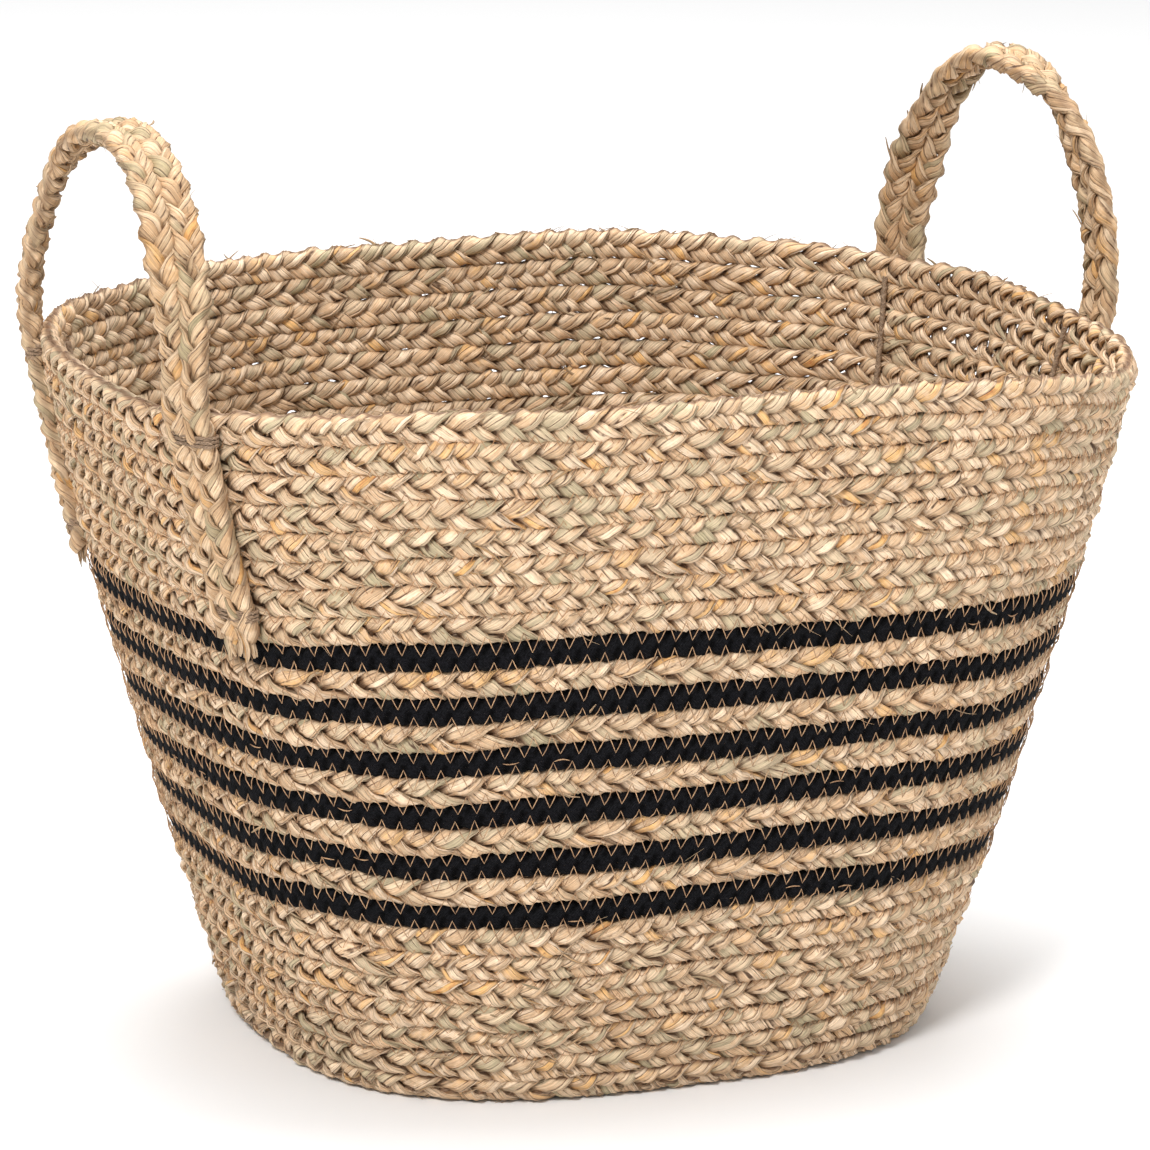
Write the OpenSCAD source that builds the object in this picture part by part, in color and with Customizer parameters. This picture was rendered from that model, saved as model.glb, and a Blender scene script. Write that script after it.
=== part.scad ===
// Oval storage basket of sewn plait rows, with two strap loops on its short ends.
// The basket stands on z = 0, with its long side along X.

/* [Wall] */
// Height of the wall, from the underside to the top of the rim
wall_h = 300; // [240:5:360]
// Half of the outer length at the rim
rim_a = 226.7; // [200:0.1:250]
// Half of the outer depth at the rim
rim_b = 172.2; // [150:0.1:190]
// Half of the outer length at the base
base_a = 144.7; // [120:0.1:170]
// Half of the outer depth at the base
base_b = 120; // [100:0.1:140]
// How far the long sides belly out at half height
belly_b = 11.5; // [0:0.5:16]
// How far the short ends belly out at half height
belly_a = 2.5; // [0:0.5:8]
// Squareness of the oval, where 2 is an ellipse
squareness = 2.85; // [2.2:0.05:3.4]
// Thickness of a plait row, through the wall
plait_t = 7.5; // [6:0.5:9]

/* [Rows] */
// Natural rows below the stripes
lower_rows = 7; // [4:1:9]
// Black bands
black_bands = 6; // [6:1:6]
// Natural rows above the stripes, without the rim
upper_rows = 7; // [5:1:9]
// Height of a striped row compared with a natural row
stripe_ratio = 0.95; // [0.85:0.01:1]

/* [Handles] */
// Height of a loop's outer edge above the rim
loop_h = 101; // [90:1:120]
// How far the left loop's crown leans along its bend line, towards the back
left_lean = -22; // [-30:1:30]
// How far the right loop's crown leans along its bend line, towards the back
right_lean = 4; // [-30:1:30]
// Height of the line where a loop bends, above the rim
bend_h = 12; // [12:1:16]
// Width of one plait of the strap
strap_plait_w = 12; // [10:0.5:14]
// Thickness of the strap
strap_t = 8; // [6:0.5:9]
// Depth position of the left strap's front leg
left_front_y = -90; // [-110:1:-70]
// Depth position of the left strap's back leg
left_back_y = 94; // [70:1:110]
// Depth position of the right strap's front leg
right_front_y = -22; // [-100:1:-10]
// Depth position of the right strap's back leg
right_back_y = 112; // [70:1:115]

/* [Lashing] */
// Diameter of the lashing twine
twine_d = 2.2; // [1.5:0.1:3]
// Height of one lashing on the strap
lashing_h = 8; // [6:0.5:10]

/* [Hidden] */

straw = "#c8af87";
straw_shade = "#b89c70";
black = "#16161a";
twine_brown = "#6b5440";

// Rows: natural rows, then black and natural bands in turn, then natural rows and the rim
band_rows = 2 * black_bands - 1;
total_rows = lower_rows + band_rows + upper_rows + 1;
row_h = wall_h / (total_rows - band_rows * (1 - stripe_ratio));
band_h = row_h * stripe_ratio;
first_band = lower_rows;
first_upper = lower_rows + band_rows;
outline_points = 96;
row_stitch = 0.3;

function row_bottom(k) =
    k <= first_band ? k * row_h
    : k <= first_upper ? first_band * row_h + (k - first_band) * band_h
    : first_band * row_h + band_rows * band_h + (k - first_upper) * row_h;

// Half axes of the wall's outer surface at height z
function wall_a(z) =
    let (u = z / wall_h) base_a + (rim_a - base_a) * u + belly_a * 4 * u * (1 - u);
function wall_b(z) =
    let (u = z / wall_h) base_b + (rim_b - base_b) * u + belly_b * 4 * u * (1 - u);

// Points of the squarish oval with half axes a and b
function power(c) = sign(c) * pow(abs(c), 2 / squareness);
function oval(a, b) = [
    for (i = [0 : outline_points - 1])
        let (t = 360 * i / outline_points) [a * power(cos(t)), b * power(sin(t))]
];

// One turn of plait; stitch is how far it sinks into the turn above it in the same coil
module row_ring(k, stitch) {
    z0 = row_bottom(k);
    z1 = row_bottom(k + 1);
    a = wall_a((z0 + z1) / 2);
    b = wall_b((z0 + z1) / 2);
    translate([0, 0, z0])
        linear_extrude(z1 - z0 + stitch)
            difference() {
                polygon(oval(a, b));
                polygon(oval(a - plait_t, b - plait_t));
            }
}

module wall_rows(from, to, tint) {
    color(tint)
        for (k = [from : to])
            row_ring(k, k < to ? row_stitch : 0);
}

// Flat coil that closes the bottom, inside the lowest row
base_t = plait_t;
base_fit = 0.1;
module base_coil() {
    inset = plait_t + base_fit;
    z_mid = row_h / 2;
    color(straw_shade)
        linear_extrude(base_t)
            polygon(oval(wall_a(z_mid) - inset, wall_b(z_mid) - inset));
}

module lower_wall_coil() wall_rows(0, lower_rows - 1, straw);
module black_band(i) wall_rows(first_band + 2 * (i - 1), first_band + 2 * (i - 1), black);
module natural_band(i) wall_rows(first_band + 2 * i - 1, first_band + 2 * i - 1, straw);
module upper_wall_coil() wall_rows(first_upper, total_rows - 2, straw);
module rim_row() wall_rows(total_rows - 1, total_rows - 1, straw);

// Place on the wall's outer surface at height z and depth y, on the side s of -1 or 1
function wall_x(y, z) = wall_a(z) * pow(1 - pow(abs(y) / wall_b(z), squareness), 1 / squareness);
function wall_point(s, y, z) = [s * wall_x(y, z), y, z];

// Outward direction of the wall in plan at that place
function unit(v) = v / norm(v);
function wall_out(s, y, z) =
    let (x = wall_x(y, z), a = wall_a(z), b = wall_b(z), e = squareness - 1)
    unit([s * pow(x / a, e) / a, sign(y) * pow(abs(y) / b, e) / b, 0]);

// Direction along the wall in plan that leans away from the basket's middle
function wall_along(s, y, z) =
    let (n = wall_out(s, y, z), t = [n[1], -n[0], 0])
    t[0] * s >= 0 ? t : -t;

// Straps: each leg lies on the wall, and each loop stands on its two legs
leg_gap = 1.5;
foot_overlap = 0.2;
leg_foot_z = row_bottom(first_upper) - row_h * foot_overlap;
bend_z = wall_h + bend_h;
bend_clear = 1;
bend_taper = 9;
bend_edge = 0.4;
bend_narrow = 0.8;
bend_inset = 0.9;
loop_top_z = wall_h + loop_h - strap_t / 2;
plait_gap = 0.3;
plait_offset = (strap_plait_w + plait_gap) / 2;
section_sides = 8;
loop_steps = 28;
leg_steps = 6;

// Where the strap turns above each leg: left front, left back, right front, right back
turn_from = [0, 0.2, 0.2, 0];
turn_to = [0.3, 0.47, 0.5, 0.3];
// How much straighter than an ellipse the loop rises from each leg, where 1 is a sine arch
slim = [0.4, 0, 0, 0.6];

foot_shift = [1, 0.85];

function front_y(s) = s < 0 ? left_front_y : right_front_y;
function back_y(s) = s < 0 ? left_back_y : right_back_y;
function leg_y(s, back) = back ? back_y(s) : front_y(s);
function leg_index(s, back) = (s < 0 ? 0 : 2) + (back ? 1 : 0);

// Centre of a strap leg where it stands free above the rim
function leg_centre(s, y, z) =
    let (n = wall_out(s, y, z), p = wall_point(s, y, z))
    p + n * (strap_t / 2 + leg_gap);
function leg_top(s, y) =
    let (c = leg_centre(s, y, wall_h)) [c[0], c[1], bend_z];
function bend_line(s) = unit(leg_top(s, back_y(s)) - leg_top(s, front_y(s)));
function loop_out(s) =
    let (d = bend_line(s), n = [d[1], -d[0], 0])
    n[0] * s >= 0 ? n : -n;

// One ring of a swept plait: its centre c, half width vector u and half thickness vector v
function ring_points(c, u, v) = [
    for (i = [0 : section_sides - 1])
        let (t = 360 * (i + 0.5) / section_sides) c + u * cos(t) + v * sin(t)
];
function side_faces(rings, i, j) =
    let (n = section_sides, k = (j + 1) % n)
    [[i * n + j, (i + 1) * n + j, (i + 1) * n + k], [i * n + j, (i + 1) * n + k, i * n + k]];
module swept(rings) {
    n = section_sides;
    last = len(rings) - 1;
    points = [for (r = rings) for (p = ring_points(r[0], r[1], r[2])) p];
    faces = concat(
        [[for (j = [0 : n - 1]) j]],
        [[for (j = [n - 1 : -1 : 0]) last * n + j]],
        [for (i = [0 : last - 1]) for (j = [0 : n - 1]) for (f = side_faces(rings, i, j)) f]
    );
    polyhedron(points, faces, convexity = 6);
}

function smooth(t) = let (c = min(max(t, 0), 1)) c * c * (3 - 2 * c);
function blend(p, q, t) = unit(p * (1 - t) + q * t);

// Narrow ring beside the bend line, so that a loop can fold without meeting its leg
function bend_ring(s, y, side, dz) =
    let (d = bend_line(s), w = wall_along(s, y, wall_h), along = w * d >= 0 ? d : -d)
    [leg_top(s, y) + [0, 0, dz] + along * side * plait_offset * bend_inset,
     along * side * plait_offset * bend_narrow, loop_out(s) * bend_edge];

// Ring at the share t of the loop's way round, from its front leg to its back leg
function loop_ring(s, side, t) =
    let (p = leg_top(s, front_y(s)), q = leg_top(s, back_y(s)),
         half = (q - p) / 2, back = t > 0.5, i = leg_index(s, back),
         lean = unit(half) * (s < 0 ? left_lean : right_lean),
         crown = [0, 0, loop_top_z - bend_z] + lean,
         way = (1 - slim[i]) * cos(180 * t) + slim[i] * (1 - 2 * t),
         pace = (1 - slim[i]) * sin(180 * t) + slim[i] * 2 / PI,
         c = (p + q) / 2 - half * way + crown * sin(180 * t),
         run = unit(half * pace + crown * cos(180 * t)),
         turn = smooth((min(t, 1 - t) - turn_from[i]) / (turn_to[i] - turn_from[i])),
         w0 = blend(wall_along(s, leg_y(s, back), wall_h), loop_out(s), turn),
         w = unit(w0 - run * (w0 * run)),
         n = cross(run, w))
    [c + w * side * plait_offset, w * strap_plait_w / 2, n * strap_t / 2];

module loop_plait(s, side, tint) {
    first = bend_ring(s, front_y(s), side, bend_clear);
    final = bend_ring(s, back_y(s), side, bend_clear);
    rise = loop_top_z - bend_z;
    t0 = asin(bend_taper / rise) / 180;
    arch = [for (i = [0 : loop_steps]) loop_ring(s, side, t0 + (1 - 2 * t0) * i / loop_steps)];
    color(tint)
        swept(concat([oriented(first, arch[0])], arch, [oriented(final, arch[loop_steps])]));
}

// Turns a ring's vectors to point the same way round as those of a neighbour
function oriented(r, near) =
    [r[0], r[1] * near[1] >= 0 ? r[1] : -r[1], r[2] * near[2] >= 0 ? r[2] : -r[2]];

function leg_ring(s, y, yf, side, z) =
    let (h = min(z, wall_h), share = (wall_h - h) / (wall_h - leg_foot_z),
         yy = y + (yf - y) * share,
         c = leg_centre(s, yy, h), w = wall_along(s, yy, h), n = wall_out(s, yy, h))
    [[c[0], c[1], z] + w * side * plait_offset, w * strap_plait_w / 2, n * strap_t / 2];

module leg_plait(s, back, side) {
    y = leg_y(s, back);
    yf = y * (back ? foot_shift[1] : foot_shift[0]);
    top = bend_z - bend_taper;
    rings = [for (i = [0 : leg_steps])
        leg_ring(s, y, yf, side, leg_foot_z + (top - leg_foot_z) * i / leg_steps)];
    cap = bend_ring(s, y, side, -bend_clear);
    color(straw)
        swept(concat(rings, [oriented(cap, rings[leg_steps])]));
}

// Twine: a wrap near the rim, a wrap near the foot, and a run between them inside the wall
wrap_t = 1.6;
wrap_gap = 0.3;
rim_wrap_z = wall_h - row_h - lashing_h;
foot_wrap_rise = 0.6;
foot_wrap_z = leg_foot_z + row_h * foot_wrap_rise;
run_gap = 0.5;

// Centre of a leg at height z, with its foot at the depth yf
function leg_spot(s, y, yf, z) =
    leg_centre(s, y + (yf - y) * (wall_h - z) / (wall_h - leg_foot_z), z);

module wrap(s, y, yf, z) {
    c = leg_spot(s, y, yf, z);
    run = unit(leg_spot(s, y, yf, z + lashing_h) - c);
    n0 = wall_out(s, y + (yf - y) * (wall_h - z) / (wall_h - leg_foot_z), z);
    n = unit(n0 - run * (n0 * run));
    w = cross(n, run);
    hw = strap_plait_w + plait_gap + wrap_gap;
    hn = strap_t / 2 + wrap_gap;
    outer_n = hn + wrap_t;
    outer_w = hw + wrap_t;
    round_w = outer_w - strap_t / 4;
    multmatrix([
        [w[0], n[0], run[0], c[0]], [w[1], n[1], run[1], c[1]], [w[2], n[2], run[2], c[2]]
    ])
        linear_extrude(lashing_h)
            polygon([
                [-hw, 0], [-outer_w, 0], [-outer_w, hn / 2], [-round_w, outer_n],
                [round_w, outer_n], [outer_w, hn / 2], [outer_w, 0], [hw, 0],
                [hw, hn / 2], [round_w - wrap_t / 2, hn], [wrap_t / 2 - round_w, hn], [-hw, hn / 2]
            ]);
}

module inner_run(s, y, yf) {
    in = plait_t + run_gap + twine_d / 2;
    share = (wall_h - foot_wrap_z) / (wall_h - leg_foot_z);
    ya = y + (yf - y) * share;
    low = wall_point(s, ya, foot_wrap_z - row_h / 2) - wall_out(s, ya, foot_wrap_z) * in;
    high = wall_point(s, y, rim_wrap_z - row_h / 2) - wall_out(s, y, rim_wrap_z) * in;
    run = high - low;
    translate(low + [0, 0, row_h])
        rotate([acos(run[2] / norm(run)), 0, 90 + atan2(run[1], run[0])])
            cylinder(h = norm(run), d = twine_d, $fn = 24);
}

module twine(s, back) {
    y = leg_y(s, back);
    yf = y * (back ? foot_shift[1] : foot_shift[0]);
    color(twine_brown) {
        wrap(s, y, yf, rim_wrap_z);
        wrap(s, y, yf, foot_wrap_z);
        inner_run(s, y, yf);
    }
}

base_coil();
lower_wall_coil();
for (i = [1 : black_bands])
    black_band(i);
for (i = [1 : black_bands - 1])
    natural_band(i);
upper_wall_coil();
rim_row();
for (s = [-1, 1]) {
    hand = s < 0 ? "left" : "right";
    loop_plait(s, -1, straw);
    loop_plait(s, 1, straw_shade);
    for (back = [false, true]) {
        leg = str(hand, back ? "_back" : "_front");
        leg_plait(s, back, -1);
        leg_plait(s, back, 1);
        twine(s, back);
    }
}
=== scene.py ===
import math
import bpy
import mathutils
import numpy as np
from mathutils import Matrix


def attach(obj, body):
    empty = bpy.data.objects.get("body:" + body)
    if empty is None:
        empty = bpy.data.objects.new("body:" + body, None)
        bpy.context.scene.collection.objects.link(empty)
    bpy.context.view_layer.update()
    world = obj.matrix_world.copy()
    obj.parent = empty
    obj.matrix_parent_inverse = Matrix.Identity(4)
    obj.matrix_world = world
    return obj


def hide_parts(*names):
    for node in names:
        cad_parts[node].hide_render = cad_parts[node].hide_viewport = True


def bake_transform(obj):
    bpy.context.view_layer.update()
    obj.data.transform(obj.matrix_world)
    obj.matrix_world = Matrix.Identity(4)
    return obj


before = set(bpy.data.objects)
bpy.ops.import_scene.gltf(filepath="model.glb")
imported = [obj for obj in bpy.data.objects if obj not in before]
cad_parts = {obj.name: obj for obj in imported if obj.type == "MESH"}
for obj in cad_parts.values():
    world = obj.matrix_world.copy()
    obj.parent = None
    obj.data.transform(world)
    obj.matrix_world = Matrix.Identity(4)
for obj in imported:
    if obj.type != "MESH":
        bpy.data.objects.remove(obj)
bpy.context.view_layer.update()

basket = {
    "wallHeight": 0.300,
    "rimHalfLength": 0.2267,
    "rimHalfDepth": 0.1722,
    "baseHalfLength": 0.1447,
    "baseHalfDepth": 0.120,
    "endBelly": 0.0025,
    "sideBelly": 0.0115,
    "squareness": 2.85,
    "plaitThickness": 0.0075,
    "lowerRows": 7,
    "bandRows": 11,
    "upperRows": 8,      # the rim is the last of them
    "bandRatio": 0.95,
    "endSag": 0.0054,    # the short ends of the rim sit this much lower, the long sides higher
    "wander": 0.0009,    # hand-made unevenness of a row, in and out
    "drift": 0.0010,     # and up and down, nearly the same for neighbouring rows
    "steadyBelow": 0.03,  # the height under which a row is hardly uneven
    "outlinePoints": 2881,
    "softCorner": {"turn": -0.75, "spread": 0.45, "dip": 0.008, "pull": 0.0035},
}
rowTotal = basket["lowerRows"] + basket["bandRows"] + basket["upperRows"]
rowHeight = basket["wallHeight"] / (rowTotal - basket["bandRows"] * (1 - basket["bandRatio"]))
bandHeight = rowHeight * basket["bandRatio"]
firstBand = basket["lowerRows"]
firstUpper = firstBand + basket["bandRows"]


def rowBottom(k):
    low = min(k, firstBand) + max(k - firstUpper, 0)
    return low * rowHeight + min(max(k - firstBand, 0), basket["bandRows"]) * bandHeight


def isBlack(k):
    return firstBand <= k < firstUpper and (k - firstBand) % 2 == 0


def halfAxes(z):
    u = z / basket["wallHeight"]
    hump = 4 * u * (1 - u)
    a = basket["baseHalfLength"] + (basket["rimHalfLength"] - basket["baseHalfLength"]) * u
    b = basket["baseHalfDepth"] + (basket["rimHalfDepth"] - basket["baseHalfDepth"]) * u
    return a + basket["endBelly"] * hump, b + basket["sideBelly"] * hump


def ovalPoint(a, b, t):
    e = 2 / basket["squareness"]
    c, s = np.cos(t), np.sin(t)
    return np.stack([a * np.sign(c) * np.abs(c) ** e, b * np.sign(s) * np.abs(s) ** e], -1)


def evenAngles(a, b, count):
    # angles that space the oval's points evenly along its outline
    t = np.linspace(0, 2 * np.pi, basket["outlinePoints"])
    p = ovalPoint(a, b, t)
    d = np.concatenate([[0], np.cumsum(np.hypot(*np.diff(p, axis=0).T))])
    return np.interp(np.arange(count) / count * d[-1], d, t), d[-1]


def unit(v):
    return v / np.linalg.norm(v, axis=-1, keepdims=True)


def travelled(path):
    # the distance to each point of a path from its start
    return np.concatenate([[0], np.cumsum(np.linalg.norm(np.diff(path, axis=0), axis=1))])


def smoothStep(x):
    x = np.clip(x, 0, 1)
    return x * x * (3 - 2 * x)


def unevenness(t, z):
    # slow waves shared by neighbouring rows, and a little that is each row's own
    low = np.sin(2 * t + 9 * z + 0.7) + 0.7 * np.sin(3 * t - 14 * z + 2.1)
    own = 0.6 * np.sin(5 * t + 310 * z) + 0.5 * np.sin(8 * t - 520 * z + 1.3)
    return basket["wander"] * (low + own) * smoothStep(z / basket["steadyBelow"])


def drift(t, z):
    slow = np.sin(5 * t + 22 * z + 0.4) + 0.6 * np.sin(11 * t - 31 * z + 2.0)
    return basket["drift"] * slow * smoothStep(z / basket["steadyBelow"])


def cornerSoftness(t):
    # one corner of the rim has been pressed in and down
    corner = basket["softCorner"]
    away = (np.asarray(t) - corner["turn"] + np.pi) % (2 * np.pi) - np.pi
    return np.exp(-(away / corner["spread"]) ** 2)


def wallGuide(z, count, inset, tuck=0.0, lag=0.0):
    # centre line of one row, with the directions up the wall and out of it
    a, b = halfAxes(z)
    t, length = evenAngles(a - inset, b - inset, count)
    t = t + lag

    def at(zz):
        aa, bb = halfAxes(zz)
        u = zz / basket["wallHeight"]
        soft = cornerSoftness(t)
        flat = ovalPoint(aa - inset, bb - inset, t)
        flat = flat - unit(flat) * (basket["softCorner"]["pull"] * soft)[:, None]
        sag = -basket["endSag"] * u * np.cos(2 * t) - basket["softCorner"]["dip"] * soft * u ** 3
        return np.column_stack([flat, zz + sag])

    step = 0.002
    centre = at(z)
    up = unit(at(z + step) - at(z - step))
    run = unit(np.roll(centre, -1, 0) - np.roll(centre, 1, 0))
    out = unit(np.cross(run, up))
    side = unit(np.cross(out, run))
    if tuck:
        side, out = (side * math.cos(tuck) + out * math.sin(tuck),
                     out * math.cos(tuck) - side * math.sin(tuck))
    centre = centre + out * unevenness(t, z)[:, None]
    centre = centre + side * drift(t, z)[:, None]
    return {"centre": centre, "side": side, "out": out, "length": length, "angle": t, "closed": True}


def guideMesh(name, lines):
    # lines: dictionaries of centre, side, out, turn and along for each point
    points, edges = [], []
    data = {"sideDir": [], "outDir": [], "turn": [], "along": [], "row": [], "size": []}
    base = 0
    for number, g in enumerate(lines):
        n = len(g["centre"])
        points.append(g["centre"])
        first = np.arange(n - 1)
        edges.append(np.column_stack([first, first + 1]) + base)
        if g["closed"]:
            edges.append(np.array([[n - 1, 0]]) + base)
        data["sideDir"].append(g["side"])
        data["outDir"].append(g["out"])
        data["turn"].append(g["turn"])
        data["along"].append(g["along"])
        data["row"].append(np.full(n, g.get("row", number), float))
        data["size"].append(np.full(n, g.get("size", 1.0), float))
        base += n
    mesh = bpy.data.meshes.new(name)
    mesh.from_pydata(np.vstack(points).tolist(), np.vstack(edges).tolist(), [])
    for key, parts in data.items():
        values = np.concatenate(parts).astype(np.float32)
        kind, slotName = ("FLOAT_VECTOR", "vector") if values.ndim == 2 else ("FLOAT", "value")
        mesh.attributes.new(key, kind, "POINT").data.foreach_set(slotName, values.ravel())
    return mesh


def live(sockets, name):
    return next(s for s in sockets if s.name == name and s.enabled)


def feed(tree, socket, value):
    if isinstance(value, bpy.types.NodeSocket):
        tree.links.new(value, socket)
    elif value is not None:
        socket.default_value = value


def add(tree, kind, settings=None, **inputs):
    n = tree.nodes.new(kind)
    for key, value in (settings or {}).items():
        setattr(n, key, value)
    for key, value in inputs.items():
        feed(tree, live(n.inputs, key.replace("_", " ")), value)
    return n


def calc(tree, operation, a, b=None):
    n = tree.nodes.new("ShaderNodeMath")
    n.operation = operation
    for socket, value in zip(n.inputs, (a, b)):
        feed(tree, socket, value)
    return n.outputs[0]


def vector(tree, operation, a, b=None, scale=None):
    n = tree.nodes.new("ShaderNodeVectorMath")
    n.operation = operation
    feed(tree, n.inputs[0], a)
    feed(tree, n.inputs[1], b)
    if scale is not None:
        feed(tree, n.inputs["Scale"], scale)
    return n.outputs["Value" if operation in ("DOT_PRODUCT", "LENGTH") else "Vector"]


def combine(tree, x, y, z):
    n = tree.nodes.new("ShaderNodeCombineXYZ")
    for socket, value in zip(n.inputs, (x, y, z)):
        feed(tree, socket, value)
    return n.outputs[0]


def named(tree, name, kind="FLOAT"):
    n = add(tree, "GeometryNodeInputNamedAttribute", {"data_type": kind}, Name=name)
    return live(n.outputs, "Attribute")


def store(tree, geometry, name, value, kind="FLOAT"):
    n = add(tree, "GeometryNodeStoreNamedAttribute", {"data_type": kind, "domain": "POINT"},
            Geometry=geometry, Name=name, Value=value)
    return n.outputs["Geometry"]


def newTree(name, inputs):
    tree = bpy.data.node_groups.new(name, "GeometryNodeTree")
    for label, kind in inputs:
        tree.interface.new_socket(label, in_out="INPUT", socket_type="NodeSocket" + kind)
    tree.interface.new_socket("Geometry", in_out="OUTPUT", socket_type="NodeSocketGeometry")
    return tree, tree.nodes.new("NodeGroupInput").outputs


def endTree(tree, geometry, material):
    smooth = add(tree, "GeometryNodeSetShadeSmooth", Geometry=geometry)
    real = add(tree, "GeometryNodeRealizeInstances", Geometry=smooth.outputs[0])
    painted = add(tree, "GeometryNodeSetMaterial", Geometry=real.outputs[0], Material=material)
    out = tree.nodes.new("NodeGroupOutput")
    tree.links.new(painted.outputs[0], out.inputs[0])


def grow(name, mesh, tree, values, material):
    # runs a tree on a guide mesh and keeps the result as a plain mesh
    obj = bpy.data.objects.new(name, mesh)
    bpy.context.scene.collection.objects.link(obj)
    maker = obj.modifiers.new("maker", "NODES")
    maker.node_group = tree
    values = dict(values, Material=material)
    for item in tree.interface.items_tree:
        if item.in_out == "INPUT" and item.name in values:
            maker[item.identifier] = values[item.name]
    graph = bpy.context.evaluated_depsgraph_get()
    made = bpy.data.meshes.new_from_object(obj.evaluated_get(graph), preserve_all_data_layers=True,
                                           depsgraph=graph)
    obj.modifiers.clear()
    obj.data = made
    made.name = name
    for spare in ("guidePos", "sideDir", "outDir", "turn", "along", "row", "size", "ply",
                  "strandPhase", "ringAngle"):
        if spare in made.attributes:
            made.attributes.remove(made.attributes[spare])
    bpy.data.meshes.remove(mesh)
    return obj


def makeStrandGroup():
    # three strands that swing across the row and lift over and under each other
    tree, given = newTree("strandPaths", [
        ("Guide", "Geometry"), ("Swing", "Float"), ("Lift", "Float"), ("Wander", "Float"), ("Seed", "Int")])
    curve = add(tree, "GeometryNodeMeshToCurve", Mesh=given["Guide"])
    many = add(tree, "GeometryNodeDuplicateElements", {"domain": "SPLINE"},
               Geometry=curve.outputs[0], Amount=3)
    ply = many.outputs["Duplicate Index"]
    phase = calc(tree, "MULTIPLY", calc(tree, "ADD", named(tree, "turn"),
                                        calc(tree, "DIVIDE", ply, 3.0)), 2 * math.pi)
    place = add(tree, "GeometryNodeInputPosition").outputs[0]
    kept = store(tree, many.outputs["Geometry"], "guidePos", place, "FLOAT_VECTOR")
    kept = store(tree, kept, "strandPhase", phase)
    kept = store(tree, kept, "ply", ply)
    phase = named(tree, "strandPhase")
    sideDir, outDir = named(tree, "sideDir", "FLOAT_VECTOR"), named(tree, "outDir", "FLOAT_VECTOR")
    swing = calc(tree, "ADD", calc(tree, "SINE", phase),
                 calc(tree, "MULTIPLY", calc(tree, "SINE", calc(tree, "MULTIPLY", phase, 3.0)), 0.08))
    double = calc(tree, "SINE", calc(tree, "MULTIPLY", phase, 2.0))
    shift = vector(tree, "ADD",
                   vector(tree, "SCALE", sideDir, scale=calc(tree, "MULTIPLY", swing, given["Swing"])),
                   vector(tree, "SCALE", outDir, scale=calc(tree, "MULTIPLY", double, given["Lift"])))
    seedW = calc(tree, "ADD", calc(tree, "MULTIPLY", named(tree, "ply"), 3.7),
                 calc(tree, "ADD", given["Seed"], calc(tree, "MULTIPLY", named(tree, "row"), 1.9)))
    noise = add(tree, "ShaderNodeTexNoise", {"noise_dimensions": "4D"}, W=seedW, Scale=110.0, Detail=1.0)
    lean = vector(tree, "SUBTRACT", noise.outputs["Color"], (0.5, 0.5, 0.5))
    shift = vector(tree, "ADD", shift, vector(tree, "SCALE", lean, scale=given["Wander"]))
    moved = add(tree, "GeometryNodeSetPosition", Geometry=kept, Offset=shift)
    turn = calc(tree, "MULTIPLY", calc(tree, "SUBTRACT", 1.0, calc(tree, "COSINE", phase)), math.pi / 2)
    facing = vector(tree, "ADD", vector(tree, "SCALE", outDir, scale=calc(tree, "COSINE", turn)),
                    vector(tree, "SCALE", sideDir, scale=calc(tree, "SINE", turn)))
    facing = vector(tree, "ADD", facing, vector(tree, "SCALE", lean, scale=0.9))
    turned = add(tree, "GeometryNodeSetCurveNormal", {"mode": "FREE"},
                 Curve=moved.outputs[0], Normal=facing)
    out = tree.nodes.new("NodeGroupOutput")
    tree.links.new(turned.outputs[0], out.inputs[0])
    return tree


bladesInStrand = 7


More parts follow.
